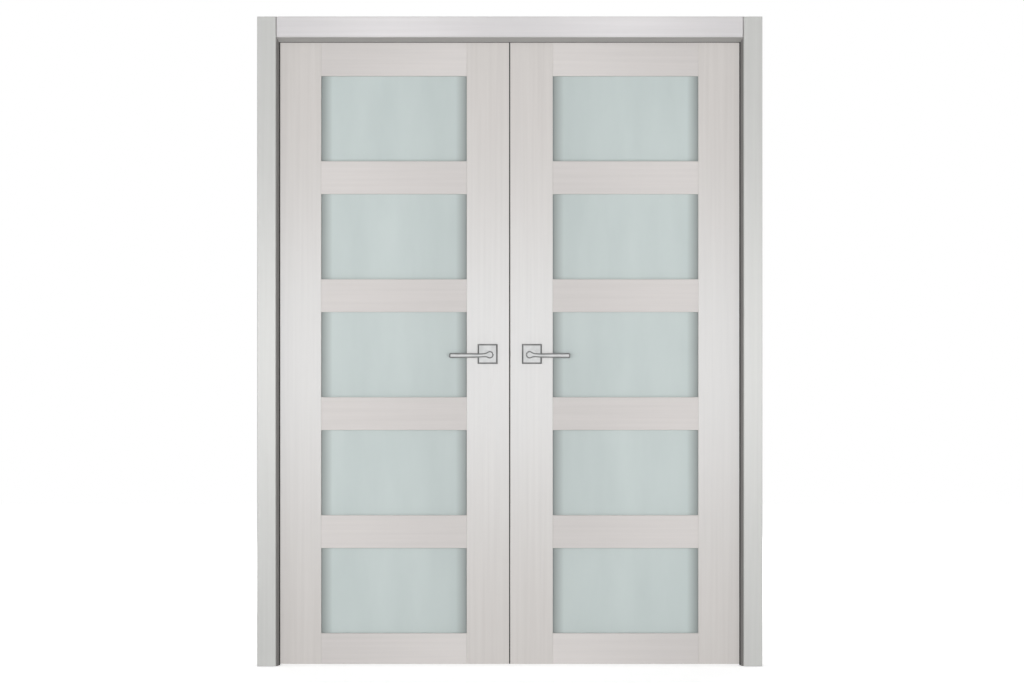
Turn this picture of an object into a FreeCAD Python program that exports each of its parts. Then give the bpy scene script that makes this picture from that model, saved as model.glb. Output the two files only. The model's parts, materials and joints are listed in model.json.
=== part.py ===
import FreeCAD
import Part
import os

# Double interior door: two glazed stile-and-rail leaves in a lined and cased frame.
# Millimetres. X runs along the wall, Z is up, and +Y points away from the viewer, where the leaves open to.
# The origin is on the floor, in the middle of the doorway and of the wall's thickness.

# Leaves and the gaps round them
leaf_width = 753.0
leaf_height = 2032.0
leaf_thickness = 40.0
meeting_gap = 4.0
hinge_gap = 3.0
head_gap = 3.0
floor_gap = 4.0
edge_easing = 0.8

# Stiles, rails, panes and their joints
hinge_stile_width = 142.0
meeting_stile_width = 138.0
top_rail_height = 120.5
middle_rail_height = 107.0
bottom_rail_height = 100.0
pane_count = 5
groove_width = 8.0
groove_depth = 10.0
glass_thickness = 4.0
glass_bite = 8.0
tongue_end_gap = 0.5
tenon_length = 80.0
tenon_width = 60.0
tenon_end_gap = 1.0

# Lining boards, stops and seal
jamb_depth = 75.0
jamb_thickness = 30.0
housing_depth = 10.0
stop_depth = 32.0
side_stop_thickness = 8.2
head_stop_thickness = 13.6
stop_nose = 3.0
stop_bevel_depth = 20.0
seal_thickness = 2.7
seal_clearance = 0.3
side_seal_lip = 3.6
head_seal_lip = 1.4
seal_edge_gap = 0.5
seal_barb_width = 2.5
seal_barb_depth = 5.0
fixing_hole_radius = 3.25
fixing_floor_rise = 150.0
fixing_head_drop = 89.0

# Casings
casing_thickness = 12.0
side_casing_width = 60.0
head_casing_height = 66.0
casing_easing = 1.5
casing_joint_width = 4.0
casing_joint_depth = 8.0
rear_reveal = 6.0
casing_tongue_width = 5.0
casing_tongue_depth = 12.0
casing_tongue_inset = 15.0
casing_groove_end_gap = 0.5

# Butt hinges, two to a leaf
hinge_height = 89.0
hinge_plate_width = 30.0
hinge_plate_thickness = 2.5
knuckle_radius = 5.6
knuckle_setback = 6.0
knuckle_gap = 0.4
knuckle_count = 2
pin_radius = 3.0
pin_clearance = 0.05
top_hinge_drop = 200.0
bottom_hinge_rise = 200.0

# Corner screws of the lining
screw_sides = 8
screw_head_radius = 4.0
screw_head_depth = 2.5
screw_shank_radius = 2.0
screw_length = 60.0
screw_spacing = 18.0

# Lever sets
lever_height = 1012.0
backset = 70.0
rose_size = 65.0
rose_thickness = 9.0
rose_bevel = 5.0
neck_radius = 13.0
neck_clearance = 0.3
lever_projection = 50.0
bar_thickness = 12.0
bar_reach = 124.0
bar_waist_at = 28.0
bar_waist_height = 13.6
bar_height = 16.0
bar_drop = 5.0
hub_end_radius = 12.0
hub_end_offset = 7.5
hub_end_drop = 2.5
hub_blend_radius = 25.0
bar_tip_radius = 5.0
bar_edge_bevel = 4.0
spindle_size = 7.0
spindle_socket_depth = 26.0
neck_back_gap = 1.0

# Mortise latch
faceplate_width = 20.0
faceplate_height = 96.0
faceplate_thickness = 3.0
latch_case_width = 16.0
latch_case_height = 62.0
latch_case_wall = 1.5
latch_case_reach = 20.0
latch_guide_lead = 21.5
spindle_hole_radius = 9.0
latch_head_width = 12.0
latch_head_height = 17.0
latch_head_length = 18.0
latch_projection = 10.0
latch_bevel_land = 2.0
latch_clearance = 0.3
tail_width = 10.0
tail_low = 2.0
tail_high = 8.5
tail_bridge_low = 9.5
tail_bridge_high = 13.0
tail_riser_start = 19.7
tail_riser_width = 3.0
tail_lug_low = 6.2
tail_lug_width = 3.7
tail_window_width = 6.0
tail_window_back = 4.5
tail_window_front = 3.3
cam_radius = 6.4
cam_clearance = 0.4
cam_finger_width = 5.0
cam_finger_reach = 13.5
spring_radius = 4.2
spring_wire = 1.0
spring_drop = 4.0

# Strike plate
strike_width = 28.0
strike_height = 57.0
strike_thickness = 2.0
strike_hole_clearance = 1.5
strike_pocket_margin = 0.5
strike_pocket_depth = 16.0

# Rubber strip in the left leaf's meeting edge, which closes the gap between the leaves
meeting_seal_width = 3.0
meeting_seal_inset = 2.0
meeting_seal_bite = 4.0

# Flush bolt in the left leaf's meeting edge
bolt_plate_width = 22.0
bolt_plate_length = 150.0
bolt_plate_thickness = 2.5
bolt_plate_inset = 60.0
bolt_size = 10.0
bolt_clearance = 0.3
bolt_travel = 20.0
bolt_tip_gap = 1.0
bolt_axis_depth = 9.0
thumb_width = 8.0
thumb_length = 18.0
thumb_recess = 1.0
thumb_clearance = 0.5
bolt_cavity_width = 12.0
bolt_cavity_depth = 13.0
bolt_cavity_margin = 2.0
keeper_length = 40.0
keeper_width = 25.0
keeper_thickness = 2.5
keeper_hole_clearance = 0.8
keeper_pocket_depth = 24.0
keeper_pocket_margin = 1.5

# Places worked out from the driving dimensions
LEFT = -1
RIGHT = 1
FRONT = -1
REAR = 1
X_AXIS = FreeCAD.Vector(1, 0, 0)
Y_AXIS = FreeCAD.Vector(0, 1, 0)
Z_AXIS = FreeCAD.Vector(0, 0, 1)
ON_PLANE = 1e-6

half_gap = meeting_gap / 2
leaf_edge = half_gap + leaf_width
meeting_stile_edge = half_gap + meeting_stile_width
hinge_stile_edge = leaf_edge - hinge_stile_width
leaf_bottom = floor_gap
leaf_top = leaf_bottom + leaf_height
leaf_z = (leaf_bottom, leaf_top)
opening_half = leaf_edge + hinge_gap
soffit = leaf_top + head_gap
frame_top = soffit + jamb_thickness
jamb_outer = opening_half + jamb_thickness
jamb_front = -jamb_depth / 2
jamb_back = jamb_depth / 2
jamb_y = (jamb_front, jamb_back)
leaf_back = jamb_back
leaf_front = leaf_back - leaf_thickness
leaf_middle = (leaf_front + leaf_back) / 2
leaf_y = (leaf_front, leaf_back)
groove_y = (leaf_middle - groove_width / 2, leaf_middle + groove_width / 2)
glass_y = (leaf_middle - glass_thickness / 2, leaf_middle + glass_thickness / 2)
stop_rear = leaf_front - seal_thickness - seal_clearance
stop_front = stop_rear - stop_depth
side_lip = opening_half - side_stop_thickness - side_seal_lip
head_lip = soffit - head_stop_thickness - head_seal_lip
casing_top = soffit + head_casing_height
knuckle_x = opening_half - hinge_gap / 2
knuckle_y = leaf_back + knuckle_setback
lower_hinge = bottom_hinge_rise + hinge_height / 2
upper_hinge = leaf_top - top_hinge_drop - hinge_height / 2
hinge_levels = (lower_hinge, upper_hinge)
fixing_levels = (fixing_floor_rise, soffit - fixing_head_drop)
hub_x = half_gap + backset
pane_height = (
    leaf_height - top_rail_height - bottom_rail_height - (pane_count - 1) * middle_rail_height
) / pane_count


def block(x_pair, y_pair, z_pair):
    """Square box between two x, two y and two z values, each pair in either order."""
    pairs = (x_pair, y_pair, z_pair)
    low = FreeCAD.Vector(*[min(pair) for pair in pairs])
    return Part.makeBox(*[abs(pair[1] - pair[0]) for pair in pairs], low)


def about(middle, size):
    """The two ends of a size that is centred on a value."""
    return (middle - size / 2, middle + size / 2)


def across(side, near, far):
    """The x values of two distances from the meeting line, on the left or the right."""
    return (side * near, side * far)


def flat(points):
    """Flat face with the given corners."""
    return Part.Face(Part.makePolygon(points + points[:1]))


def prism(points, direction):
    """Straight extrusion of a closed polygon."""
    return flat([FreeCAD.Vector(*point) for point in points]).extrude(direction)


def face_edges(solid, level):
    """Edges that lie wholly on the plane y = level."""
    return [
        edge for edge in solid.Edges
        if all(abs(vertex.Y - level) < ON_PLANE for vertex in edge.Vertexes)
    ]


def eased_board(x_pair, y_pair, z_pair):
    """Board of a leaf, with the edges of its two show faces taken off."""
    board = block(x_pair, y_pair, z_pair)
    edges = face_edges(board, min(y_pair)) + face_edges(board, max(y_pair))
    return board.makeChamfer(edge_easing, edges)


def save(name, shape):
    shape.exportStep("parts/" + name + ".step")


# Corner screws of the lining

def screw_ring(centre, radius):
    """Corners of a screw's flat-sided outline about an axis along X."""
    turn = 360 / screw_sides
    return [
        centre + FreeCAD.Rotation(X_AXIS, turn * number).multVec(Y_AXIS * radius)
        for number in range(screw_sides)
    ]


def screw(point, direction):
    """Countersunk wood screw, its head flush with the given point; flat sides keep it light to draw."""
    head = screw_ring(point, screw_head_radius)
    neck = screw_ring(point + direction * screw_head_depth, screw_shank_radius)
    tip = point + direction * screw_length
    faces = [flat(head)]
    for number in range(screw_sides):
        after = (number + 1) % screw_sides
        faces.append(flat([head[number], head[after], neck[after], neck[number]]))
        faces.append(flat([neck[number], neck[after], tip]))
    solid = Part.Solid(Part.Shell(faces))
    if solid.Volume < 0:
        solid.reverse()
    return solid


def corner_screws(side):
    """Screws through a side board into the end of the head board."""
    height = soffit + jamb_thickness / 2
    return [
        screw(FreeCAD.Vector(side * jamb_outer, row * screw_spacing, height), X_AXIS * -side)
        for row in (-1, 0, 1)
    ]


# Butt hinges

def knuckle_span(level, number, top_gap):
    """Height range of one knuckle."""
    length = hinge_height / knuckle_count
    start = level - hinge_height / 2 + number * length
    return (start, start + length - top_gap)


def hinge_plate(x_pair, side, level, knuckles):
    """One half of a butt hinge: a plate let into the wood, with its knuckles rolled round the pin."""
    plate = block(x_pair, (leaf_back - hinge_plate_width, leaf_back), about(level, hinge_height))
    for low, high in knuckles:
        centre = FreeCAD.Vector(side * knuckle_x, knuckle_y, low)
        plate = plate.fuse(block(x_pair, (leaf_back, knuckle_y), (low, high)))
        plate = plate.fuse(Part.makeCylinder(knuckle_radius, high - low, centre, Z_AXIS))
    foot = FreeCAD.Vector(side * knuckle_x, knuckle_y, level - hinge_height / 2)
    plate = plate.cut(Part.makeCylinder(pin_radius + pin_clearance, hinge_height, foot, Z_AXIS))
    return plate.removeSplitter()


def jamb_hinge_plate(side, level):
    """The frame's half, with every other knuckle from the lowest up."""
    x_pair = across(side, opening_half, opening_half + hinge_plate_thickness)
    knuckles = [knuckle_span(level, number, 0) for number in range(0, knuckle_count, 2)]
    return hinge_plate(x_pair, side, level, knuckles)


def leaf_hinge_plate(side, level):
    """The leaf's half; its knuckles rest on the frame's and have a gap above."""
    x_pair = across(side, leaf_edge - hinge_plate_thickness, leaf_edge)
    knuckles = [knuckle_span(level, number, knuckle_gap) for number in range(1, knuckle_count, 2)]
    return hinge_plate(x_pair, side, level, knuckles)


def hinge_recess(side, level, near, far):
    """The shallow pocket that a hinge plate lies in."""
    y_pair = (leaf_back - hinge_plate_width, leaf_back)
    return block(across(side, near, far), y_pair, about(level, hinge_height))


def hinge_pin(side, level):
    foot = FreeCAD.Vector(side * knuckle_x, knuckle_y, level - hinge_height / 2)
    return Part.makeCylinder(pin_radius, hinge_height, foot, Z_AXIS)


# Lining: two side boards and the head board

def casing_groove(face_y, inward):
    """Range in y of the groove that takes a casing's tongue, from a board's edge inwards."""
    return (face_y, face_y + inward * (casing_tongue_depth + casing_groove_end_gap))


def side_jamb(side):
    jamb = block(across(side, opening_half, jamb_outer), jamb_y, (0, frame_top))
    housing = across(side, opening_half, opening_half + housing_depth)
    jamb = jamb.cut(block(housing, jamb_y, (soffit, frame_top)))
    tongue_x = about(side * (opening_half + casing_tongue_inset), casing_tongue_width)
    for face_y, inward in ((jamb_front, 1), (jamb_back, -1)):
        jamb = jamb.cut(block(tongue_x, casing_groove(face_y, inward), (0, frame_top)))
    for level in hinge_levels:
        jamb = jamb.cut(hinge_recess(side, level, opening_half, opening_half + hinge_plate_thickness))
    for height in fixing_levels:
        mouth = FreeCAD.Vector(side * opening_half, leaf_middle, height)
        jamb = jamb.cut(Part.makeCylinder(fixing_hole_radius, jamb_thickness, mouth, X_AXIS * side))
    for fastener in corner_screws(side):
        jamb = jamb.cut(fastener)
    return jamb


def head_jamb():
    reach = opening_half + housing_depth
    jamb = block((-reach, reach), jamb_y, (soffit, frame_top))
    tongue_z = about(soffit + casing_tongue_inset, casing_tongue_width)
    for face_y, inward in ((jamb_front, 1), (jamb_back, -1)):
        jamb = jamb.cut(block((-reach, reach), casing_groove(face_y, inward), tongue_z))
    for fastener in corner_screws(LEFT) + corner_screws(RIGHT):
        jamb = jamb.cut(fastener)
    jamb = jamb.cut(keeper_blank())
    pocket_size = bolt_size + 2 * keeper_pocket_margin
    pocket_z = (soffit, soffit + keeper_pocket_depth)
    return jamb.cut(block(about(bolt_x, pocket_size), about(leaf_middle, pocket_size), pocket_z))


# Stops and the seal that they carry

def stop_profile(thickness, place):
    """Bevelled section of a stop; place turns a distance into the opening and a y into a point."""
    return [
        place(0, stop_front),
        place(stop_nose, stop_front),
        place(thickness, stop_front + stop_bevel_depth),
        place(thickness, stop_rear),
        place(0, stop_rear),
    ]


def side_stop_blank(side):
    outline = stop_profile(side_stop_thickness, lambda depth, y: (side * (opening_half - depth), y, 0))
    return prism(outline, Z_AXIS * soffit)


def side_stop(side):
    return side_stop_blank(side).cut(side_seal_barb(side))


def head_stop():
    """Head stop, coped over the side stops at both ends."""
    outline = stop_profile(head_stop_thickness, lambda depth, y: (-opening_half, y, soffit - depth))
    stop = prism(outline, X_AXIS * 2 * opening_half).cut(head_seal_barb())
    for side in (LEFT, RIGHT):
        stop = stop.cut(side_stop_blank(side))
    return stop


def side_seal_barb(side):
    x_pair = about(side * (opening_half - side_stop_thickness / 2), seal_barb_width)
    return block(x_pair, (stop_rear - seal_barb_depth, stop_rear), (0, soffit))


def head_seal_barb():
    z_pair = about(soffit - head_stop_thickness / 2, seal_barb_width)
    return block((-opening_half, opening_half), (stop_rear - seal_barb_depth, stop_rear), z_pair)


def side_seal(side):
    x_pair = across(side, side_lip, opening_half - seal_edge_gap)
    strip = block(x_pair, (stop_rear, stop_rear + seal_thickness), (0, soffit))
    return strip.fuse(side_seal_barb(side)).removeSplitter()


def head_seal():
    """Seal of the head stop, cut to fit between the side seals."""
    z_pair = (head_lip, soffit - seal_edge_gap)
    strip = block((-opening_half, opening_half), (stop_rear, stop_rear + seal_thickness), z_pair)
    strip = strip.fuse(head_seal_barb())
    for side in (LEFT, RIGHT):
        corner_x = across(side, side_lip, opening_half)
        strip = strip.cut(block(corner_x, (stop_front, leaf_front), (0, frame_top)))
    return strip.removeSplitter()


# Casings

def cased(board, show_y, tongue):
    """Casing board with its show edges eased and the tongue that plugs it into the lining."""
    eased = board.makeChamfer(casing_easing, face_edges(board, show_y))
    return eased.fuse(tongue).removeSplitter()


def casing_depth(face):
    """Back and show plane of a casing on the front or the rear of the lining."""
    back = face * jamb_back
    return back, back + face * casing_thickness


def side_casing(side, face, reveal):
    back, show = casing_depth(face)
    inner = opening_half + reveal
    outer_x = across(side, inner, inner + side_casing_width)
    board = block(outer_x, (back, show), (0, casing_top + reveal))
    tongue_x = about(side * (opening_half + casing_tongue_inset), casing_tongue_width)
    tongue = block(tongue_x, (back, back - face * casing_tongue_depth), (0, frame_top))
    return cased(board, show, tongue)


def casing_joint(side, face, reveal):
    """Wedge off the end of a head casing, which leaves a groove where it meets the side casing."""
    end_x, show = side * (opening_half + reveal), casing_depth(face)[1]
    outline = [
        (end_x, show, soffit + reveal),
        (end_x - side * casing_joint_width, show, soffit + reveal),
        (end_x, show - face * casing_joint_depth, soffit + reveal),
    ]
    return prism(outline, Z_AXIS * head_casing_height)


def head_casing(face, reveal):
    back, show = casing_depth(face)
    reach = opening_half + reveal
    board = block((-reach, reach), (back, show), (soffit + reveal, casing_top + reveal))
    tongue_z = about(soffit + casing_tongue_inset, casing_tongue_width)
    tongue = block((-opening_half, opening_half), (back, back - face * casing_tongue_depth), tongue_z)
    casing = cased(board, show, tongue)
    for side in (LEFT, RIGHT):
        casing = casing.cut(casing_joint(side, face, reveal))
    return casing


# Leaves: stiles, rails, panes, gaskets and tenons

def rail_levels():
    """Name, bottom and top of each rail, from the bottom rail up."""
    levels = [("bottom_rail", leaf_bottom, leaf_bottom + bottom_rail_height)]
    for number in range(pane_count - 1, 0, -1):
        low = levels[-1][2] + pane_height
        levels.append(("middle_rail_%d" % number, low, low + middle_rail_height))
    levels.append(("top_rail", leaf_top - top_rail_height, leaf_top))
    return levels


def pane_levels():
    """Bottom and top of the opening of each pane, between neighbouring rails."""
    rails = rail_levels()
    return [(below[2], above[1]) for below, above in zip(rails, rails[1:])]


def tenon(side, joint, low, high):
    x_pair = about(side * joint, tenon_length)
    return block(x_pair, groove_y, about((low + high) / 2, tenon_width))


def mortise(side, joint, low, high):
    """Room for a loose tenon in the two pieces that it joins, with a gap past its ends."""
    x_pair = about(side * joint, tenon_length + 2 * tenon_end_gap)
    return block(x_pair, groove_y, about((low + high) / 2, tenon_width))


def tenons(side):
    return [
        tenon(side, joint, low, high)
        for name, low, high in rail_levels()
        for joint in (meeting_stile_edge, hinge_stile_edge)
    ]


def stile(side, edge, inner):
    """Full-height stile, grooved along its inner edge for the panes and the rails' tongues."""
    board = eased_board(across(side, edge, inner), leaf_y, leaf_z)
    inward = 1 if edge > inner else -1
    board = board.cut(block(across(side, inner, inner + inward * groove_depth), groove_y, leaf_z))
    for name, low, high in rail_levels():
        board = board.cut(mortise(side, inner, low, high))
    return board


def hinge_stile(side):
    board = stile(side, leaf_edge, hinge_stile_edge)
    for level in hinge_levels:
        board = board.cut(hinge_recess(side, level, leaf_edge - hinge_plate_thickness, leaf_edge))
    return board


def rail(side, name, low, high):
    """Rail between the stiles, with a tongue at each end and a groove where it holds a pane."""
    board = eased_board(across(side, meeting_stile_edge, hinge_stile_edge), leaf_y, (low, high))
    tongue_length = groove_depth - tongue_end_gap
    reach = across(side, meeting_stile_edge - tongue_length, hinge_stile_edge + tongue_length)
    board = board.fuse(block(reach, groove_y, (low, high)))
    if name != "top_rail":
        board = board.cut(block(reach, groove_y, (high - groove_depth, high)))
    if name != "bottom_rail":
        board = board.cut(block(reach, groove_y, (low, low + groove_depth)))
    for joint in (meeting_stile_edge, hinge_stile_edge):
        board = board.cut(mortise(side, joint, low, high))
    return board.removeSplitter()


def pane(side, low, high):
    x_pair = across(side, meeting_stile_edge - glass_bite, hinge_stile_edge + glass_bite)
    return block(x_pair, glass_y, (low - glass_bite, high + glass_bite))


def glazing_seal(side, low, high):
    """Channel gasket round a pane, filling the groove and flush with its mouth."""
    outer_x = across(side, meeting_stile_edge - groove_depth, hinge_stile_edge + groove_depth)
    gasket = block(outer_x, groove_y, (low - groove_depth, high + groove_depth))
    gasket = gasket.cut(block(across(side, meeting_stile_edge, hinge_stile_edge), groove_y, (low, high)))
    return gasket.cut(pane(side, low, high))


# Lever sets

def rose(side, face):
    """Square rose with a bevelled border, on a face of the leaf; the working ones are bored for the neck."""
    back = leaf_back if face == REAR else leaf_front
    show = back + face * rose_thickness
    plate = block(about(side * hub_x, rose_size), (back, show), about(lever_height, rose_size))
    plate = plate.makeChamfer(rose_bevel, face_edges(plate, show))
    if side == LEFT:
        return plate
    axis = FreeCAD.Vector(side * hub_x, back, lever_height)
    return plate.cut(Part.makeCylinder(neck_radius + neck_clearance, rose_thickness, axis, Y_AXIS * face))


def bar_outline():
    """Flat outline of a lever's bar along +X, waisted beside its round end."""
    half_waist = bar_waist_height / 2
    half_bar = bar_height / 2
    points = [
        (-hub_end_offset, 0, half_waist - hub_end_drop),
        (bar_waist_at, 0, half_waist - bar_drop),
        (bar_reach, 0, half_bar - bar_drop),
        (bar_reach, 0, -half_bar - bar_drop),
        (bar_waist_at, 0, -half_waist - bar_drop),
        (-hub_end_offset, 0, -half_waist - hub_end_drop),
    ]
    return prism(points, Y_AXIS * bar_thickness)


def edges_at(solid, x_low, x_high):
    """Straight edges along Y whose x lies in a range."""
    return [
        edge for edge in solid.Edges
        if len(edge.Vertexes) == 2
        and abs(abs(edge.Vertexes[0].Y - edge.Vertexes[1].Y) - bar_thickness) < ON_PLANE
        and x_low < edge.Vertexes[0].X < x_high
        and abs(edge.Vertexes[0].X - edge.Vertexes[1].X) < ON_PLANE
    ]


def lever_bar():
    """Bar with a round end over the spindle, soft at the tip and along its show edges."""
    round_end = Part.makeCylinder(
        hub_end_radius, bar_thickness, FreeCAD.Vector(-hub_end_offset, 0, -hub_end_drop), Y_AXIS
    )
    bar = bar_outline().fuse(round_end).removeSplitter()
    bar = bar.makeFillet(hub_blend_radius, edges_at(bar, -hub_end_offset, bar_waist_at / 2))
    bar = bar.makeFillet(bar_tip_radius, edges_at(bar, bar_waist_at, 2 * bar_reach))
    return bar.makeChamfer(bar_edge_bevel, face_edges(bar, bar_thickness))


def lever(side, face):
    """Lever handle on one side of a leaf, its bar pointing away from the meeting line.

    A lever of the right leaf turns in its rose on the spindle, one of the left leaf is seated on its rose.
    """
    bar_back = lever_projection - bar_thickness
    neck_start = neck_back_gap if side == RIGHT else rose_thickness
    neck = Part.makeCylinder(neck_radius, bar_back - neck_start, Y_AXIS * neck_start, Y_AXIS)
    handle = lever_bar().translated(Y_AXIS * bar_back).fuse(neck).removeSplitter()
    if side == RIGHT:
        square = about(0, spindle_size)
        handle = handle.cut(block(square, (neck_back_gap, spindle_socket_depth), square))
    else:
        handle = handle.mirror(FreeCAD.Vector(0, 0, 0), X_AXIS)
    if face == FRONT:
        handle = handle.mirror(FreeCAD.Vector(0, 0, 0), Y_AXIS)
    back = leaf_back if face == REAR else leaf_front
    return handle.translated(FreeCAD.Vector(side * hub_x, back, lever_height))


def spindle():
    """Square bar that turns both levers of the right leaf and the latch's cam."""
    square_x = about(hub_x, spindle_size)
    square_z = about(lever_height, spindle_size)
    y_pair = (leaf_front - spindle_socket_depth, leaf_back + spindle_socket_depth)
    return block(square_x, y_pair, square_z)


# Mortise latch in the right leaf's meeting edge

latch_guide_start = hub_x - latch_guide_lead
latch_case_start = half_gap + faceplate_thickness
latch_case_end = hub_x + latch_case_reach
latch_head_back = half_gap + latch_head_length
latch_tip = half_gap - latch_projection


def latch_faceplate_blank():
    x_pair = (half_gap, latch_case_start)
    return block(x_pair, about(leaf_middle, faceplate_width), about(lever_height, faceplate_height))


def latch_body():
    """Outside of the latch case behind its edge plate."""
    x_pair = (latch_case_start, latch_case_end)
    return block(x_pair, about(leaf_middle, latch_case_width), about(lever_height, latch_case_height))


def latch_case():
    """Edge plate and case of the latch in one piece, hollow for the bolt and the cam, with a guide wall."""
    room_y = about(leaf_middle, latch_case_width - 2 * latch_case_wall)
    room_z = about(lever_height, latch_case_height - 2 * latch_case_wall)
    guide_x = (latch_guide_start, latch_guide_start + latch_case_wall)
    case = latch_body().cut(block((latch_case_start, latch_case_end - latch_case_wall), room_y, room_z))
    case = case.fuse(block(guide_x, room_y, room_z)).fuse(latch_faceplate_blank())
    mouth_y = about(leaf_middle, latch_head_width + 2 * latch_clearance)
    mouth_z = about(lever_height, latch_head_height + 2 * latch_clearance)
    case = case.cut(block((half_gap, latch_case_start), mouth_y, mouth_z))
    tail_y = about(leaf_middle, tail_width + 2 * latch_clearance)
    tail_z = (lever_height + tail_low - latch_clearance, lever_height + tail_high + latch_clearance)
    case = case.cut(block(guide_x, tail_y, tail_z))
    side_wall = FreeCAD.Vector(hub_x, leaf_middle - latch_case_width / 2, lever_height)
    hub_hole = Part.makeCylinder(cam_radius + cam_clearance, latch_case_width, side_wall, Y_AXIS)
    return case.cut(hub_hole).removeSplitter()


def latch_bolt():
    """Bevelled bolt head with a stepped tail; the cam's finger works in a window of the tail."""
    head_y = about(leaf_middle, latch_head_width)
    head = block((latch_tip, latch_head_back), head_y, about(lever_height, latch_head_height))
    bevel = [
        (latch_tip, head_y[0], lever_height - latch_head_height / 2),
        (half_gap, head_y[0], lever_height - latch_head_height / 2),
        (latch_tip, head_y[1] - latch_bevel_land, lever_height - latch_head_height / 2),
    ]
    head = head.cut(prism(bevel, Z_AXIS * latch_head_height))
    riser = hub_x - tail_riser_start
    lug = hub_x + tail_window_front
    tail_y = about(leaf_middle, tail_width)
    outline = [
        (latch_head_back, tail_low),
        (riser + tail_riser_width, tail_low),
        (riser + tail_riser_width, tail_bridge_low),
        (lug, tail_bridge_low),
        (lug, tail_lug_low),
        (lug + tail_lug_width, tail_lug_low),
        (lug + tail_lug_width, tail_bridge_high),
        (riser, tail_bridge_high),
        (riser, tail_high),
        (latch_head_back, tail_high),
    ]
    tail = prism([(x, tail_y[0], lever_height + z) for x, z in outline], Y_AXIS * tail_width)
    window_x = (hub_x - tail_window_back, lug)
    window_z = (lever_height + tail_bridge_low, lever_height + tail_bridge_high)
    tail = tail.cut(block(window_x, about(leaf_middle, tail_window_width), window_z))
    return head.fuse(tail).removeSplitter()


def latch_cam():
    """Hub on the spindle, borne in the case's two sides, with the finger that draws the bolt back."""
    foot = FreeCAD.Vector(hub_x, leaf_middle - latch_case_width / 2, lever_height)
    cam = Part.makeCylinder(cam_radius, latch_case_width, foot, Y_AXIS)
    finger_x = about(hub_x, cam_finger_width)
    finger_y = about(leaf_middle, cam_finger_width)
    cam = cam.fuse(block(finger_x, finger_y, (lever_height, lever_height + cam_finger_reach)))
    return cam.cut(spindle()).removeSplitter()


def latch_spring():
    """Envelope of the coil spring between the bolt head and the guide wall."""
    foot = FreeCAD.Vector(latch_head_back, leaf_middle, lever_height - spring_drop)
    length = latch_guide_start - latch_head_back
    coil = Part.makeCylinder(spring_radius, length, foot, X_AXIS)
    return coil.cut(Part.makeCylinder(spring_radius - spring_wire, length, foot, X_AXIS))


def right_meeting_stile():
    board = stile(RIGHT, half_gap, meeting_stile_edge).cut(latch_faceplate_blank()).cut(latch_body())
    face = FreeCAD.Vector(hub_x, leaf_front, lever_height)
    return board.cut(Part.makeCylinder(spindle_hole_radius, leaf_thickness, face, Y_AXIS))


# Strike plate in the left leaf's meeting edge

def strike_blank():
    x_pair = (-half_gap, -half_gap - strike_thickness)
    return block(x_pair, about(leaf_middle, strike_width), about(lever_height, strike_height))


def strike_hole(margin, depth):
    y_pair = about(leaf_middle, latch_head_width + 2 * margin)
    z_pair = about(lever_height, latch_head_height + 2 * margin)
    return block((-half_gap, -half_gap - depth), y_pair, z_pair)


# Flush bolt at the top of the left leaf's meeting edge

bolt_x = -half_gap - bolt_axis_depth
bolt_tip = leaf_top - bolt_tip_gap
bolt_plate_top = leaf_top - bolt_plate_inset
bolt_plate_z = (bolt_plate_top - bolt_plate_length, bolt_plate_top)
thumb_bottom = sum(bolt_plate_z) / 2 - (thumb_length + bolt_travel) / 2
thumb_top = thumb_bottom + thumb_length
slot_z = (thumb_bottom - thumb_clearance, thumb_top + bolt_travel + thumb_clearance)


def bolt_plate_blank():
    x_pair = (-half_gap, -half_gap - bolt_plate_thickness)
    return block(x_pair, about(leaf_middle, bolt_plate_width), bolt_plate_z)


def bolt_plate():
    x_pair = (-half_gap, -half_gap - bolt_plate_thickness)
    slot_y = about(leaf_middle, thumb_width + 2 * thumb_clearance)
    return bolt_plate_blank().cut(block(x_pair, slot_y, slot_z))


def flush_bolt():
    """Square bolt with the thumb piece that slides it."""
    bolt = block(about(bolt_x, bolt_size), about(leaf_middle, bolt_size), (thumb_bottom, bolt_tip))
    thumb_x = (bolt_x, -half_gap - thumb_recess)
    thumb = block(thumb_x, about(leaf_middle, thumb_width), (thumb_bottom, thumb_top))
    return bolt.fuse(thumb).removeSplitter()


def bolt_room():
    """What is cut from the stile for the flush bolt: plate recess, cavity and bore."""
    cavity_x = (-half_gap, -half_gap - bolt_plate_thickness - bolt_cavity_depth)
    cavity_z = (slot_z[0] - bolt_cavity_margin, slot_z[1] + bolt_cavity_margin)
    cavity = block(cavity_x, about(leaf_middle, bolt_cavity_width), cavity_z)
    bore_size = bolt_size + 2 * bolt_clearance
    bore = block(about(bolt_x, bore_size), about(leaf_middle, bore_size), (cavity_z[1], leaf_top))
    return [bolt_plate_blank(), cavity, bore]


# Rubber strip between the leaves

def meeting_seal_strip(x_end):
    """The strip from the bottom of its groove in the left leaf out to an x value."""
    seal_front = leaf_front + meeting_seal_inset
    x_pair = (-half_gap - meeting_seal_bite, x_end)
    return block(x_pair, (seal_front, seal_front + meeting_seal_width), leaf_z)


def meeting_seal():
    return meeting_seal_strip(half_gap - seal_clearance)


def left_meeting_stile():
    board = stile(LEFT, half_gap, meeting_stile_edge).cut(meeting_seal_strip(-half_gap)).cut(strike_blank())
    pocket_margin = strike_hole_clearance + strike_pocket_margin
    board = board.cut(strike_hole(pocket_margin, strike_pocket_depth))
    for room in bolt_room():
        board = board.cut(room)
    return board


def keeper_blank():
    z_pair = (soffit, soffit + keeper_thickness)
    return block(about(bolt_x, keeper_length), about(leaf_middle, keeper_width), z_pair)


def head_keeper():
    hole_size = bolt_size + 2 * keeper_hole_clearance
    z_pair = (soffit, soffit + keeper_thickness)
    return keeper_blank().cut(block(about(bolt_x, hole_size), about(leaf_middle, hole_size), z_pair))


# Build every piece and write it to its own file

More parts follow.
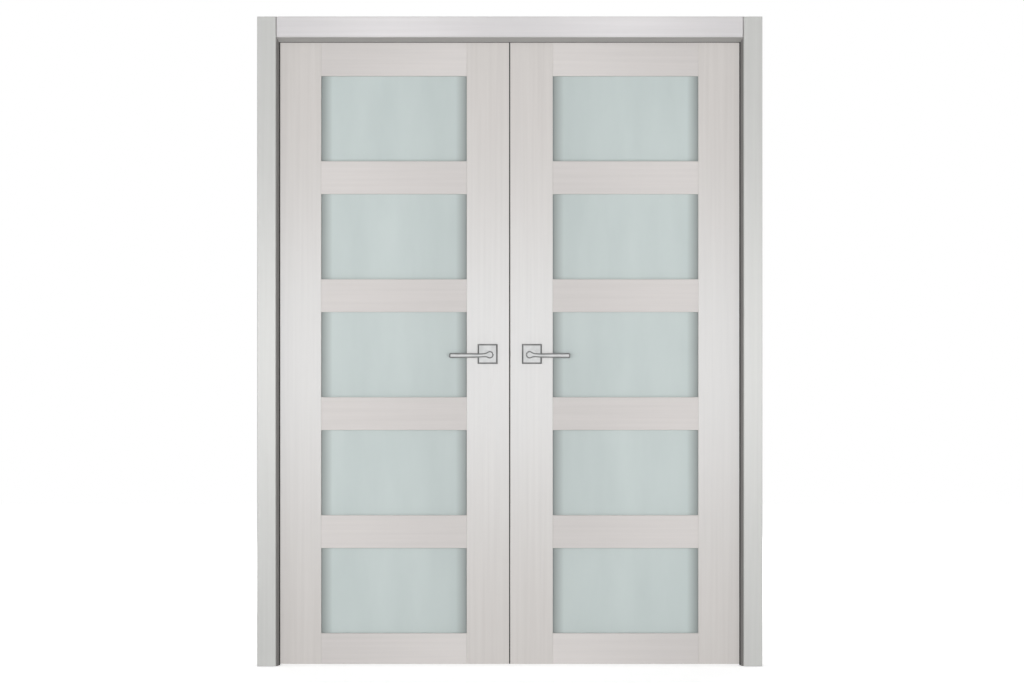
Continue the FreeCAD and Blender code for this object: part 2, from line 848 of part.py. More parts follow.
def build_frame():
    for side, word in ((LEFT, "left"), (RIGHT, "right")):
        save(word + "_jamb", side_jamb(side))
        save(word + "_stop", side_stop(side))
        save("front_casing_" + word, side_casing(side, FRONT, 0))
        save("rear_casing_" + word, side_casing(side, REAR, rear_reveal))
    save("head_jamb", head_jamb())
    save("head_stop", head_stop())
    save("front_casing_head", head_casing(FRONT, 0))
    save("rear_casing_head", head_casing(REAR, rear_reveal))
    save("frame_seal", Part.makeCompound([side_seal(LEFT), head_seal(), side_seal(RIGHT)]))
    save("head_keeper", head_keeper())
    both_sides = [(side, level) for side in (LEFT, RIGHT) for level in hinge_levels]
    save("jamb_hinge_plates", Part.makeCompound([jamb_hinge_plate(*place) for place in both_sides]))
    save("hinge_pins", Part.makeCompound([hinge_pin(*place) for place in both_sides]))
    save("frame_screws", Part.makeCompound(corner_screws(LEFT) + corner_screws(RIGHT)))


def build_leaf(side, word, meeting_stile):
    save(word + "_hinge_stile", hinge_stile(side))
    save(word + "_meeting_stile", meeting_stile)
    for name, low, high in rail_levels():
        save(word + "_" + name, rail(side, name, low, high))
    save(word + "_panes", Part.makeCompound([pane(side, *level) for level in pane_levels()]))
    gaskets = [glazing_seal(side, *level) for level in pane_levels()]
    save(word + "_glazing_seals", Part.makeCompound(gaskets))
    save(word + "_tenons", Part.makeCompound(tenons(side)))
    plates = [leaf_hinge_plate(side, level) for level in hinge_levels]
    save(word + "_hinge_plates", Part.makeCompound(plates))
    for face, face_word in ((FRONT, "front"), (REAR, "rear")):
        save(word + "_" + face_word + "_rose", rose(side, face))
        save(word + "_" + face_word + "_lever", lever(side, face))


def build_locks():
    save("spindle", spindle())
    save("latch_case", latch_case())
    save("latch_bolt", latch_bolt())
    save("latch_cam", latch_cam())
    save("latch_spring", latch_spring())
    save("strike_plate", strike_blank().cut(strike_hole(strike_hole_clearance, strike_thickness)))
    save("bolt_plate", bolt_plate())
    save("meeting_seal", meeting_seal())
    save("top_bolt", flush_bolt())


os.makedirs("parts", exist_ok=True)
build_frame()
build_leaf(LEFT, "left", left_meeting_stile())
build_leaf(RIGHT, "right", right_meeting_stile())
build_locks()
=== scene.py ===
import json
import math

import bmesh
import bpy
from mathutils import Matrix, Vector


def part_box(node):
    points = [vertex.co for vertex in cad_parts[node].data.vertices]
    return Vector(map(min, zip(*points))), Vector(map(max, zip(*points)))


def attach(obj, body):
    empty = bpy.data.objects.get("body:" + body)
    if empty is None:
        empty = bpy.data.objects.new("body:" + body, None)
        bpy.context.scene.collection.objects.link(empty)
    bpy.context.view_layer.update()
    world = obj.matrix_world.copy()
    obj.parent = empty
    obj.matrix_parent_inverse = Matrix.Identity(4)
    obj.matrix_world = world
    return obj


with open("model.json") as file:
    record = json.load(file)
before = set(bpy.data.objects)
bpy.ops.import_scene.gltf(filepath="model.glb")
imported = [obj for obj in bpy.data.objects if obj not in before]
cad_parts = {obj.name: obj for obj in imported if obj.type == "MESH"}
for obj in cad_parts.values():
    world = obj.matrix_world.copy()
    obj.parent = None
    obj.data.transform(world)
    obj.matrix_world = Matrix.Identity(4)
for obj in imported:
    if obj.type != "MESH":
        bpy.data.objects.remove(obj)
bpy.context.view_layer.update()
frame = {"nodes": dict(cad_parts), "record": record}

# Looks of a double interior door. Metres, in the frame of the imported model:
# X along the wall, +Y through the doorway away from the viewer, Z up, origin on the floor.

# Camera, square on to the front casings; the object stands a few pixels beside the middle of the image
image_width = 1024
object_shift_right = -2.25
camera_distance = 12.0
sensor_width = 36.0
lens = 130.27

# Lights: soft light from all round, a pair in front, a pair behind and a weak one at the left
ambient = 0.336
front_pair_power = 109.0
front_pair_size = (0.77, 1.2)
front_pair_offset = 0.8
front_pair_distance = 7.0
front_pair_height = 0.94
rear_pair_power = 150.0
rear_pair_size = (0.9, 1.4)
rear_pair_offset = 3.2
rear_pair_distance = 7.0
rear_pair_height = 2.4
left_light_middle = Vector((-2.05, -5.46, 1.2))
left_light_size = (0.68, 0.68)
left_light_power = 17.0

# Floor, with a glow that is only seen or mirrored: its strength near the door and farther out
floor_roughness = 0.9
floor_half = 12.0
floor_drop = 0.0005
floor_near_glow = 0.55
floor_far_glow = 0.66
floor_near_reach = 1.8
floor_far_reach = 4.5

# Panes, with painted shade beside the stiles, where the stiles would shade the glass set back between them:
# how far the painted shade reaches, the shade at the very edge, and the shade where that edge ends on the
# side of the meeting stile
pane_painted_shade_reach = 0.036
pane_edge_painted_shade = 0.44
pane_meeting_painted_shade = 0.93

# Screw heads
screw_radius = 0.0042
screw_rise = 0.0004
screw_rim = 0.0006
screw_sides = 20
recess_half_length = 0.0021
recess_half_width = 0.00045
recess_rise = 0.00005
turn_between_screws = 37.0
hinge_screw_spacing = 0.028
hinge_screw_inset = 0.021
hinge_screw_stagger = 0.006
latch_screw_inset = 0.009
strike_screw_inset = 0.007
bolt_screw_inset = 0.008
keeper_screw_inset = 0.006
plate_gap = 0.2

# Colours, linear
UPRIGHT_DARK = (0.648, 0.614, 0.590, 1)
UPRIGHT_LIGHT = (0.682, 0.648, 0.624, 1)
LEVEL_DARK = (0.666, 0.634, 0.618, 1)
LEVEL_LIGHT = (0.702, 0.668, 0.652, 1)
CASING_UPRIGHT_DARK = (0.587, 0.589, 0.573, 1)
CASING_UPRIGHT_LIGHT = (0.618, 0.621, 0.604, 1)
CASING_LEVEL_DARK = (0.739, 0.719, 0.727, 1)
CASING_LEVEL_LIGHT = (0.783, 0.761, 0.771, 1)
# Lining, a darker veneer whose darkness is partly painted shade of the reveals; the side lining is painted
# darker than the head lining for the way the light falls into them
LINING_UPRIGHT_PAINTED_SHADE_DARK = (0.236, 0.229, 0.223, 1)
LINING_UPRIGHT_PAINTED_SHADE_LIGHT = (0.260, 0.253, 0.246, 1)
LINING_LEVEL_PAINTED_SHADE_DARK = (0.368, 0.360, 0.348, 1)
LINING_LEVEL_PAINTED_SHADE_LIGHT = (0.397, 0.388, 0.376, 1)
GLASS_DARK = (0.533, 0.606, 0.597, 1)
GLASS_LIGHT = (0.583, 0.656, 0.645, 1)
GASKET_DARK = (0.250, 0.262, 0.260, 1)
GASKET_LIGHT = (0.330, 0.345, 0.342, 1)
RUBBER_DARK = (0.025, 0.024, 0.023, 1)
RUBBER_LIGHT = (0.041, 0.039, 0.038, 1)
CHROME_DARK = (0.610, 0.618, 0.618, 1)
CHROME_LIGHT = (0.700, 0.708, 0.708, 1)
# Chrome edges and bevels: painted dark reflection
CHROME_BEVEL_PAINTED_REFLECTION_DARK = (0.215, 0.218, 0.218, 1)
CHROME_BEVEL_PAINTED_REFLECTION_LIGHT = (0.290, 0.294, 0.294, 1)
STEEL_DARK = (0.420, 0.418, 0.411, 1)
STEEL_LIGHT = (0.540, 0.538, 0.531, 1)
ZINC_DARK = (0.400, 0.405, 0.415, 1)
ZINC_LIGHT = (0.560, 0.565, 0.575, 1)
SOFTWOOD_DARK = (0.430, 0.285, 0.150, 1)
SOFTWOOD_LIGHT = (0.620, 0.450, 0.270, 1)
# Cross on the screw heads: painted shade where the recess would be
RECESS_PAINTED_SHADE_DARK = (0.035, 0.035, 0.036, 1)
RECESS_PAINTED_SHADE_LIGHT = (0.065, 0.065, 0.067, 1)
FLOOR_COLOUR = (0.90, 0.90, 0.90, 1)
WHITE = (1, 1, 1, 1)

# Lacquer on the veneers: roughness from and to, strength, tint, and how far the sheen is drawn out
stile_sheen = {"roughness": (0.31, 0.385), "specular": 0.42, "tint": (0.80, 0.92, 1.0, 1), "drawn_out": 0.9}
casing_sheen = {"roughness": (0.31, 0.385), "specular": 0.42, "tint": WHITE, "drawn_out": 0.9}
level_sheen = {"roughness": (0.46, 0.54), "specular": 0.41, "tint": WHITE, "drawn_out": 0.75}
lining_sheen = {"roughness": (0.62, 0.72), "specular": 0.11, "tint": WHITE, "drawn_out": 0.3}

# Tilt of the sheen's direction out of the plane of the boards
sheen_tilt = 0.3

# Slow drift from dark to light along the level boards, their figure with a painted sheen: the shade where it
# is darkest
rail_drift_shade = 0.91
head_drift_shade = 0.89

# Textures: scale and detail of a noise, where its dark and light ends lie, strength and height of a bump,
# roughness from and to
EVEN = (1.0, 1.0, 1.0)
grain_stretch = 0.02
pore_noise = (620.0, 3.0)
figure_noise = (95.0, 4.0)
figure_share = 0.82
veneer_ends = (0.34, 0.66)
veneer_bump = (0.08, 0.0004)
cloud_ends = (0.30, 0.70)
glass_cloud_stretch = (1.0, 1.0, 0.25)
glass_cloud_noise = (9.0, 3.0)
etch_noise = (900.0, 2.0)
etch_bump = (0.10, 0.0002)
glass_roughness = (0.42, 0.56)
glass_transmission = 0.08
glass_ior = 1.5
metal_cloud_noise = (40.0, 3.0)
metal_line_stretch = (0.15, 1.0, 1.0)
metal_line_noise = (1500.0, 2.0)
metal_bump = (0.02, 0.0001)
hinge_roughness = (0.42, 0.56)
lock_roughness = (0.38, 0.52)
zinc_roughness = (0.30, 0.45)
chrome_facing = (0.72, 0.97)
chrome_roughness = (0.42, 0.02)
skin_stretch = (1.0, 1.0, 0.2)
skin_noise = (700.0, 3.0)
skin_bump = (0.15, 0.0002)
rubber_roughness = (0.62, 0.80)
rubber_specular = 0.2
softwood_stretch = (0.04, 1.0, 1.0)
softwood_noise = (260.0, 4.0)
softwood_bump = (0.2, 0.0004)
softwood_roughness = (0.60, 0.78)
fine_ends = (0.35, 0.65)

# Colour sockets of a mix node, which share their names with its other sockets
MIX_FIRST = 6
MIX_SECOND = 7
MIX_RESULT = 2

# Places from the frame: the two sides of a pane, as distances from the meeting line, and where the drift
# of painted sheen along the boards is darkest and lightest; the end rails lie the other way round
pane_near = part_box("right_meeting_stile")[1][0]
pane_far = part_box("right_hinge_stile")[0][0]
middle_rail_drift = (pane_near, pane_far, rail_drift_shade)
end_rail_drift = (pane_far, pane_near, rail_drift_shade)
head_drift = (0.0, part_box("front_casing_head")[1][0] / 2, head_drift_shade)


# Materials

def new_material(name):
    """A material with its node tree and its shader."""
    material = bpy.data.materials.new(name)
    material.use_nodes = True
    tree = material.node_tree
    return material, tree, tree.nodes["Principled BSDF"]


def noise(tree, stretch, scale, detail):
    """Noise in the object's own metres, drawn out along the axes with a small stretch value."""
    place = tree.nodes.new("ShaderNodeTexCoord")
    mapping = tree.nodes.new("ShaderNodeMapping")
    mapping.inputs["Scale"].default_value = stretch
    texture = tree.nodes.new("ShaderNodeTexNoise")
    texture.inputs["Scale"].default_value = scale
    texture.inputs["Detail"].default_value = detail
    tree.links.new(place.outputs["Object"], mapping.inputs["Vector"])
    tree.links.new(mapping.outputs["Vector"], texture.inputs["Vector"])
    return texture.outputs["Fac"]


def ramp(tree, factor, low, high, start, end):
    """Colour that goes from low to high while the factor goes from start to end."""
    node = tree.nodes.new("ShaderNodeValToRGB")
    node.color_ramp.elements[0].position = start
    node.color_ramp.elements[0].color = low
    node.color_ramp.elements[1].position = end
    node.color_ramp.elements[1].color = high
    tree.links.new(factor, node.inputs["Fac"])
    return node.outputs["Color"]


def spread(tree, factor, low, high):
    """Factor from 0 to 1 moved to the range from low to high."""
    node = tree.nodes.new("ShaderNodeMapRange")
    node.inputs["To Min"].default_value = low
    node.inputs["To Max"].default_value = high
    tree.links.new(factor, node.inputs["Value"])
    return node.outputs["Result"]


def blended(tree, first, second, share):
    """Two factors mixed in a fixed share."""
    node = tree.nodes.new("ShaderNodeMix")
    node.inputs["Factor"].default_value = share
    tree.links.new(first, node.inputs["A"])
    tree.links.new(second, node.inputs["B"])
    return node.outputs["Result"]


def bump(tree, shader, height, strength, distance):
    """Fine relief from a noise."""
    node = tree.nodes.new("ShaderNodeBump")
    node.inputs["Strength"].default_value = strength
    node.inputs["Distance"].default_value = distance
    tree.links.new(height, node.inputs["Height"])
    tree.links.new(node.outputs["Normal"], shader.inputs["Normal"])


def shaded(tree, colour, shade):
    """A colour times a grey shade."""
    node = tree.nodes.new("ShaderNodeMix")
    node.data_type = "RGBA"
    node.blend_type = "MULTIPLY"
    node.inputs["Factor"].default_value = 1.0
    tree.links.new(colour, node.inputs[MIX_FIRST])
    tree.links.new(shade, node.inputs[MIX_SECOND])
    return node.outputs[MIX_RESULT]


def size_along(tree, source, axis):
    """Size of a point's place or of its normal along one axis, the same on both sides."""
    place = tree.nodes.new("ShaderNodeTexCoord")
    split = tree.nodes.new("ShaderNodeSeparateXYZ")
    size = tree.nodes.new("ShaderNodeMath")
    size.operation = "ABSOLUTE"
    tree.links.new(place.outputs[source], split.inputs["Vector"])
    tree.links.new(split.outputs[axis], size.inputs[0])
    return size.outputs[0]


def distance_from_middle(tree):
    """Distance of a point from the meeting line, on either side."""
    return size_along(tree, "Object", "X")


def painted_sheen_drift(tree, darkest, lightest, low):
    """Painted sheen as a grey wave along X, partly the veneer's figure, alike on both sides of the meeting
    line, from its darkest to its lightest place.
    """
    turn = tree.nodes.new("ShaderNodeMapRange")
    turn.clamp = False
    turn.inputs["From Min"].default_value = darkest
    turn.inputs["From Max"].default_value = lightest
    turn.inputs["To Min"].default_value = -math.pi
    turn.inputs["To Max"].default_value = 0.0
    tree.links.new(distance_from_middle(tree), turn.inputs["Value"])
    wave = tree.nodes.new("ShaderNodeMath")
    wave.operation = "COSINE"
    tree.links.new(turn.outputs["Result"], wave.inputs[0])
    shade = tree.nodes.new("ShaderNodeMapRange")
    shade.inputs["From Min"].default_value = -1.0
    shade.inputs["To Min"].default_value = low
    tree.links.new(wave.outputs[0], shade.inputs["Value"])
    return shade.outputs["Result"]


def across_grain(tree, grain_axis):
    """Direction across the grain that turns with the board, tilted so that no face is square to it."""
    across = tree.nodes.new("ShaderNodeCombineXYZ")
    across.inputs["X" if grain_axis == "Z" else "Z"].default_value = 1.0
    across.inputs["Y"].default_value = sheen_tilt
    turned = tree.nodes.new("ShaderNodeVectorTransform")
    turned.vector_type = "VECTOR"
    turned.convert_from = "OBJECT"
    turned.convert_to = "WORLD"
    tree.links.new(across.outputs["Vector"], turned.inputs["Vector"])
    return turned.outputs["Vector"]


def veneer(name, dark, light, grain_axis, sheen, drift=None):
    """Pale woodgrain veneer with a satin lacquer; the grain and its sheen run along one axis, and a drift, if
    given, adds a slow painted sheen along the board.
    """
    material, tree, shader = new_material(name)
    along = list(EVEN)
    along["XYZ".index(grain_axis)] = grain_stretch
    pores = noise(tree, along, *pore_noise)
    figure = noise(tree, along, *figure_noise)
    colour = ramp(tree, blended(tree, pores, figure, figure_share), dark, light, *veneer_ends)
    # A slow drift along the board: the veneer's figure with a painted sheen
    if drift:
        colour = shaded(tree, colour, painted_sheen_drift(tree, *drift))
    tree.links.new(colour, shader.inputs["Base Color"])
    tree.links.new(spread(tree, figure, *sheen["roughness"]), shader.inputs["Roughness"])
    shader.inputs["Specular IOR Level"].default_value = sheen["specular"]
    shader.inputs["Specular Tint"].default_value = sheen["tint"]
    shader.inputs["Anisotropic"].default_value = sheen["drawn_out"]
    tree.links.new(across_grain(tree, grain_axis), shader.inputs["Tangent"])
    bump(tree, shader, pores, *veneer_bump)
    return material


def pane_painted_shade(tree):
    """Painted shade across a pane, darker beside the stiles, from the meeting stile to the hinge stile."""
    across = tree.nodes.new("ShaderNodeMapRange")
    across.inputs["From Min"].default_value = pane_near
    across.inputs["From Max"].default_value = pane_far
    tree.links.new(distance_from_middle(tree), across.inputs["Value"])
    reach = pane_painted_shade_reach / (pane_far - pane_near)
    positions = (0.0, reach, 0.5, 1.0 - reach, 1.0)
    shades = (pane_edge_painted_shade, pane_meeting_painted_shade, 1.0, 1.0, pane_edge_painted_shade)
    node = tree.nodes.new("ShaderNodeValToRGB")
    stops = node.color_ramp.elements
    while len(stops) < len(shades):
        stops.new(1.0)
    for stop, position, shade in zip(stops, positions, shades):
        stop.position = position
        stop.color = (shade, shade, shade, 1)
    tree.links.new(across.outputs["Result"], node.inputs["Fac"])
    return node.outputs["Color"]


def satin_glass(name):
    """Acid-etched glass: cloudy, pale blue-green, with a soft sheen and painted shade beside the stiles."""
    material, tree, shader = new_material(name)
    cloud = noise(tree, glass_cloud_stretch, *glass_cloud_noise)
    etch = noise(tree, EVEN, *etch_noise)
    body = ramp(tree, cloud, GLASS_DARK, GLASS_LIGHT, *cloud_ends)
    # The glass colour times the painted shade beside the stiles
    tree.links.new(shaded(tree, body, pane_painted_shade(tree)), shader.inputs["Base Color"])
    tree.links.new(spread(tree, etch, *glass_roughness), shader.inputs["Roughness"])
    shader.inputs["Transmission Weight"].default_value = glass_transmission
    shader.inputs["IOR"].default_value = glass_ior
    bump(tree, shader, etch, *etch_bump)
    return material


def metal(name, dark, light, roughness):
    """Plated or brushed metal with fine drawn lines and slow clouding."""
    material, tree, shader = new_material(name)
    cloud = noise(tree, EVEN, *metal_cloud_noise)
    lines = noise(tree, metal_line_stretch, *metal_line_noise)
    tree.links.new(ramp(tree, cloud, dark, light, *cloud_ends), shader.inputs["Base Color"])
    tree.links.new(spread(tree, lines, *roughness), shader.inputs["Roughness"])
    shader.inputs["Metallic"].default_value = 1.0
    bump(tree, shader, lines, *metal_bump)
    return material


def polished_metal(name):
    """Chrome, mirror bright on the front and the back; brushed rougher on the edges and bevels, with a darker
    colour there that is a painted reflection.
    """
    material, tree, shader = new_material(name)
    cloud = noise(tree, EVEN, *metal_cloud_noise)
    facing = tree.nodes.new("ShaderNodeMapRange")
    facing.inputs["From Min"].default_value = chrome_facing[0]
    facing.inputs["From Max"].default_value = chrome_facing[1]
    tree.links.new(size_along(tree, "Normal", "Y"), facing.inputs["Value"])
    colour = tree.nodes.new("ShaderNodeMix")
    colour.data_type = "RGBA"
    # Edge and bevel colour: a painted dark reflection, under the rougher finish there
    brushed = ramp(tree, cloud, CHROME_BEVEL_PAINTED_REFLECTION_DARK, CHROME_BEVEL_PAINTED_REFLECTION_LIGHT, *cloud_ends)
    chrome = ramp(tree, cloud, CHROME_DARK, CHROME_LIGHT, *cloud_ends)
    tree.links.new(facing.outputs["Result"], colour.inputs["Factor"])
    tree.links.new(brushed, colour.inputs[MIX_FIRST])
    tree.links.new(chrome, colour.inputs[MIX_SECOND])
    tree.links.new(colour.outputs[MIX_RESULT], shader.inputs["Base Color"])
    tree.links.new(spread(tree, facing.outputs["Result"], *chrome_roughness), shader.inputs["Roughness"])
    shader.inputs["Metallic"].default_value = 1.0
    return material


def rubber(name, dark, light):
    """Matt extruded rubber with a fine skin."""
    material, tree, shader = new_material(name)
    skin = noise(tree, skin_stretch, *skin_noise)
    tree.links.new(ramp(tree, skin, dark, light, *fine_ends), shader.inputs["Base Color"])
    tree.links.new(spread(tree, skin, *rubber_roughness), shader.inputs["Roughness"])
    shader.inputs["Specular IOR Level"].default_value = rubber_specular
    bump(tree, shader, skin, *skin_bump)
    return material


def softwood(name):
    """Bare softwood of the loose tenons, with its grain along X."""
    material, tree, shader = new_material(name)
    grain = noise(tree, softwood_stretch, *softwood_noise)
    colour = ramp(tree, grain, SOFTWOOD_DARK, SOFTWOOD_LIGHT, *fine_ends)
    tree.links.new(colour, shader.inputs["Base Color"])
    tree.links.new(spread(tree, grain, *softwood_roughness), shader.inputs["Roughness"])
    bump(tree, shader, grain, *softwood_bump)
    return material


looks = {
    "veneer_upright": veneer("veneer_upright", UPRIGHT_DARK, UPRIGHT_LIGHT, "Z", stile_sheen),
    "veneer_level": veneer("veneer_level", LEVEL_DARK, LEVEL_LIGHT, "X", level_sheen, middle_rail_drift),
    "casing_upright": veneer("casing_upright", CASING_UPRIGHT_DARK, CASING_UPRIGHT_LIGHT, "Z", casing_sheen),
    "casing_level": veneer(
        "casing_level", CASING_LEVEL_DARK, CASING_LEVEL_LIGHT, "X", level_sheen, head_drift
    ),
    # The linings' colours hold painted shade of the reveals
    "lining_upright": veneer("lining_upright", LINING_UPRIGHT_PAINTED_SHADE_DARK, LINING_UPRIGHT_PAINTED_SHADE_LIGHT, "Z", lining_sheen),
    "lining_level": veneer("lining_level", LINING_LEVEL_PAINTED_SHADE_DARK, LINING_LEVEL_PAINTED_SHADE_LIGHT, "X", lining_sheen),
    "raw_wood": softwood("raw_wood"),
    "satin_glass": satin_glass("satin_glass"),
    "glazing_gasket": rubber("glazing_gasket", GASKET_DARK, GASKET_LIGHT),
    "seal_rubber": rubber("seal_rubber", RUBBER_DARK, RUBBER_LIGHT),
    "polished_chrome": polished_metal("polished_chrome"),
    "hinge_steel": metal("hinge_steel", STEEL_DARK, STEEL_LIGHT, hinge_roughness),
    "lock_steel": metal("lock_steel", STEEL_DARK, STEEL_LIGHT, lock_roughness),
    "plain_steel": metal("plain_steel", ZINC_DARK, ZINC_LIGHT, zinc_roughness),
}
end_rail_look = veneer("veneer_level_ends", LEVEL_DARK, LEVEL_LIGHT, "X", level_sheen, end_rail_drift)
# Dark cross on the screw heads, painted shade in place of a recess
recess_painted_shade_look = rubber("screw_recess_painted_shade", RECESS_PAINTED_SHADE_DARK, RECESS_PAINTED_SHADE_LIGHT)

for entry in frame["record"]["subparts"]:
    is_end_rail = entry["node"].endswith(("top_rail", "bottom_rail"))
    mesh = frame["nodes"][entry["node"]].data
    mesh.materials.clear()
    mesh.materials.append(end_rail_look if is_end_rail else looks[entry["material_slot"]])


# Screw heads of the hinge plates, the latch, the strike, the flush bolt and its keeper

def plate_levels(node):
    """Middle heights of the separate plates in a node, from the lowest up."""
    heights = sorted(vertex.co.z for vertex in frame["nodes"][node].data.vertices)
    groups = [[heights[0]]]
    for height in heights[1:]:
        if height - groups[-1][-1] > plate_gap:
            groups.append([])
        groups[-1].append(height)
    return [(group[0] + group[-1]) / 2 for group in groups]


def hinge_screw_places(node, face_x, outward):
    """Point and direction of each screw head on one face of a node's hinge plates."""
    back_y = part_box("left_hinge_stile")[1][1]
    places = []
    for level in plate_levels(node):
        for row in (-1, 0, 1):
            depth = hinge_screw_inset - (hinge_screw_stagger if row == 0 else 0)
            point = Vector((face_x, back_y - depth, level + row * hinge_screw_spacing))
            places.append((point, Vector((outward, 0, 0))))
    return places


def end_screw_places(node, face_x, outward, inset):
    """Point and direction of a screw head at the top and the bottom of an upright plate."""
    low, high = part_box(node)
    middle_y = (low[1] + high[1]) / 2
    return [
        (Vector((face_x, middle_y, height)), Vector((outward, 0, 0)))
        for height in (low[2] + inset, high[2] - inset)
    ]


def keeper_screw_places():
    """Point and direction of the two screw heads under the keeper plate."""
    low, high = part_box("head_keeper")
    middle_y = (low[1] + high[1]) / 2
    return [
        (Vector((x, middle_y, low[2])), Vector((0, 0, -1)))
        for x in (low[0] + keeper_screw_inset, high[0] - keeper_screw_inset)
    ]


def add_screw_head(mesh, point, outward, turn):
    """One low head, its back on the plate, with a dark cross turned by an angle, painted shade standing in
    for its recess.
    """
    side = outward.orthogonal().normalized()
    up = outward.cross(side)

    def ring(radius, rise, sides):
        corners = []
        for number in range(sides):
            angle = turn + 2 * math.pi * number / sides
            around = side * math.cos(angle) + up * math.sin(angle)
            corners.append(mesh.verts.new(point + outward * rise + around * radius))
        return corners

    rings = [
        ring(screw_radius, 0, screw_sides),
        ring(screw_radius, screw_rise / 2, screw_sides),
        ring(screw_radius - screw_rim, screw_rise, screw_sides),
    ]
    for lower, upper in zip(rings, rings[1:]):
        for number in range(screw_sides):
            after = (number + 1) % screw_sides
            mesh.faces.new((lower[number], lower[after], upper[after], upper[number]))
    mesh.faces.new(rings[-1])
    for quarter in (0, 1):
        angle = turn + quarter * math.pi / 2
        along = (side * math.cos(angle) + up * math.sin(angle)) * recess_half_length
        across = outward.cross(along).normalized() * recess_half_width
        middle = point + outward * (screw_rise + recess_rise * (1 + quarter))
        arms = (along + across, across - along, -along - across, along - across)
        face = mesh.faces.new([mesh.verts.new(middle + arm) for arm in arms])
        # The cross gets the painted shade of a recess
        face.material_index = 1


def add_screws(name, body, slot, places):
    """One piece with all the screw heads of a kind on a body."""
    heads = bmesh.new()
    for number, (point, outward) in enumerate(places):
        add_screw_head(heads, point, outward, math.radians(turn_between_screws * number))
    bmesh.ops.recalc_face_normals(heads, faces=heads.faces)
    mesh = bpy.data.meshes.new(name)
    heads.to_mesh(mesh)
    heads.free()
    mesh.materials.append(looks[slot])
    mesh.materials.append(recess_painted_shade_look)
    piece = bpy.data.objects.new(name, mesh)
    bpy.context.collection.objects.link(piece)
    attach(piece, body)


jamb_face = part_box("right_stop")[1][0]
leaf_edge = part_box("right_hinge_stile")[1][0]
meeting_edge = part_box("right_meeting_stile")[0][0]
add_screws(
    "jamb_hinge_screws", "frame", "hinge_steel",
    hinge_screw_places("jamb_hinge_plates", -jamb_face, 1)
    + hinge_screw_places("jamb_hinge_plates", jamb_face, -1),
)
add_screws("keeper_screws", "frame", "lock_steel", keeper_screw_places())
add_screws(
    "left_hinge_screws", "left_leaf", "hinge_steel",
    hinge_screw_places("left_hinge_plates", -leaf_edge, -1),
)
add_screws(
    "right_hinge_screws", "right_leaf", "hinge_steel",
    hinge_screw_places("right_hinge_plates", leaf_edge, 1),
)
add_screws(
    "left_edge_screws", "left_leaf", "lock_steel",
    end_screw_places("strike_plate", -meeting_edge, 1, strike_screw_inset)
    + end_screw_places("bolt_plate", -meeting_edge, 1, bolt_screw_inset),
)
add_screws(
    "latch_screws", "right_leaf", "lock_steel",
    end_screw_places("latch_case", meeting_edge, -1, latch_screw_inset),
)


# Floor, light and camera

def seen_directly(tree):
    """1 for what the camera, polished metal and clear glass see, 0 for light that falls on other surfaces."""
    path = tree.nodes.new("ShaderNodeLightPath")
    seen = path.outputs["Is Camera Ray"]
    for name in ("Is Glossy Ray", "Is Transmission Ray"):
        larger = tree.nodes.new("ShaderNodeMath")
        larger.operation = "MAXIMUM"
        tree.links.new(seen, larger.inputs[0])
        tree.links.new(path.outputs[name], larger.inputs[1])
        seen = larger.outputs[0]
    return seen


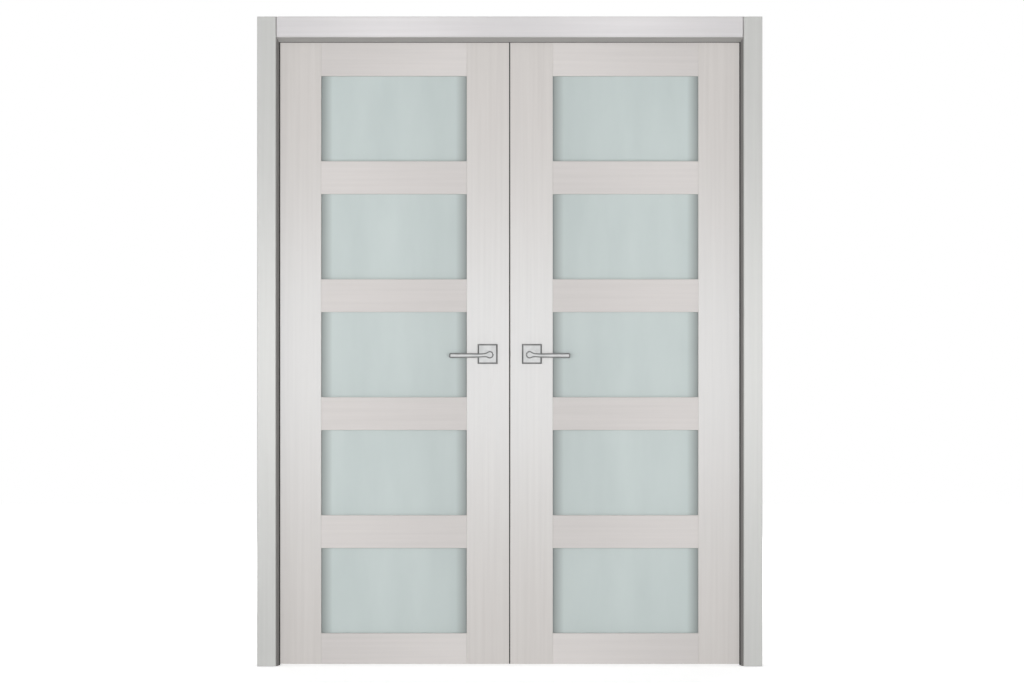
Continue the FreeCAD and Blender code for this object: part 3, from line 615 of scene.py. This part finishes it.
def add_floor():
    """Plain floor that keeps the door's shadow and grows white farther out."""
    mesh = bpy.data.meshes.new("floor")
    near, far = -floor_half, floor_half
    corners = [(near, near), (far, near), (far, far), (near, far)]
    mesh.from_pydata([(x, y, -floor_drop) for x, y in corners], [], [(0, 1, 2, 3)])
    floor = bpy.data.objects.new("floor", mesh)
    bpy.context.collection.objects.link(floor)
    material, tree, shader = new_material("floor")
    shader.inputs["Base Color"].default_value = FLOOR_COLOUR
    shader.inputs["Roughness"].default_value = floor_roughness
    shader.inputs["Emission Color"].default_value = WHITE
    place = tree.nodes.new("ShaderNodeTexCoord")
    distance = tree.nodes.new("ShaderNodeVectorMath")
    distance.operation = "LENGTH"
    tree.links.new(place.outputs["Object"], distance.inputs[0])
    glow = tree.nodes.new("ShaderNodeMapRange")
    glow.inputs["From Min"].default_value = floor_near_reach
    glow.inputs["From Max"].default_value = floor_far_reach
    glow.inputs["To Min"].default_value = floor_near_glow
    glow.inputs["To Max"].default_value = floor_far_glow
    tree.links.new(distance.outputs["Value"], glow.inputs["Value"])
    shown = tree.nodes.new("ShaderNodeMath")
    shown.operation = "MULTIPLY"
    tree.links.new(glow.outputs["Result"], shown.inputs[0])
    tree.links.new(seen_directly(tree), shown.inputs[1])
    tree.links.new(shown.outputs[0], shader.inputs["Emission Strength"])
    mesh.materials.append(material)


def add_world():
    """White where it is seen directly, and a soft even light for the rest."""
    world = bpy.data.worlds.new("studio")
    world.use_nodes = True
    bpy.context.scene.world = world
    tree = world.node_tree
    background = tree.nodes["Background"]
    background.inputs["Color"].default_value = WHITE
    strength = spread(tree, seen_directly(tree), ambient, 1.0)
    tree.links.new(strength, background.inputs["Strength"])


def add_light(name, middle, size, power, target):
    """Soft rectangular lamp that faces a point."""
    data = bpy.data.lights.new(name, "AREA")
    data.shape = "RECTANGLE"
    data.size, data.size_y = size
    data.energy = power
    lamp = bpy.data.objects.new(name, data)
    lamp.location = middle
    lamp.rotation_euler = (target - middle).to_track_quat("-Z", "Y").to_euler()
    bpy.context.collection.objects.link(lamp)


def add_camera(low, high):
    """Camera level with the middle of a box, looking straight at its front."""
    front, height = low.y, (low.z + high.z) / 2
    data = bpy.data.cameras.new("camera")
    data.sensor_width = sensor_width
    data.lens = lens
    data.shift_x = -object_shift_right / image_width
    camera = bpy.data.objects.new("camera", data)
    camera.location = (0, front - camera_distance, height)
    camera.rotation_euler = Vector((0, 1, 0)).to_track_quat("-Z", "Y").to_euler()
    bpy.context.collection.objects.link(camera)
    bpy.context.scene.camera = camera


casing_low, casing_high = [Vector(corner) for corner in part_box("front_casing_left")]
door_middle = Vector((0, 0, (casing_low.z + casing_high.z) / 2))
add_floor()
add_world()
for side_word, side in (("left", -1), ("right", 1)):
    front_middle = Vector((side * front_pair_offset, -front_pair_distance, front_pair_height))
    rear_middle = Vector((side * rear_pair_offset, rear_pair_distance, rear_pair_height))
    add_light("front_light_" + side_word, front_middle, front_pair_size, front_pair_power, door_middle)
    add_light("rear_light_" + side_word, rear_middle, rear_pair_size, rear_pair_power, door_middle)
add_light("left_light", left_light_middle, left_light_size, left_light_power, door_middle)
add_camera(casing_low, casing_high)
bpy.context.scene.view_settings.view_transform = "Standard"
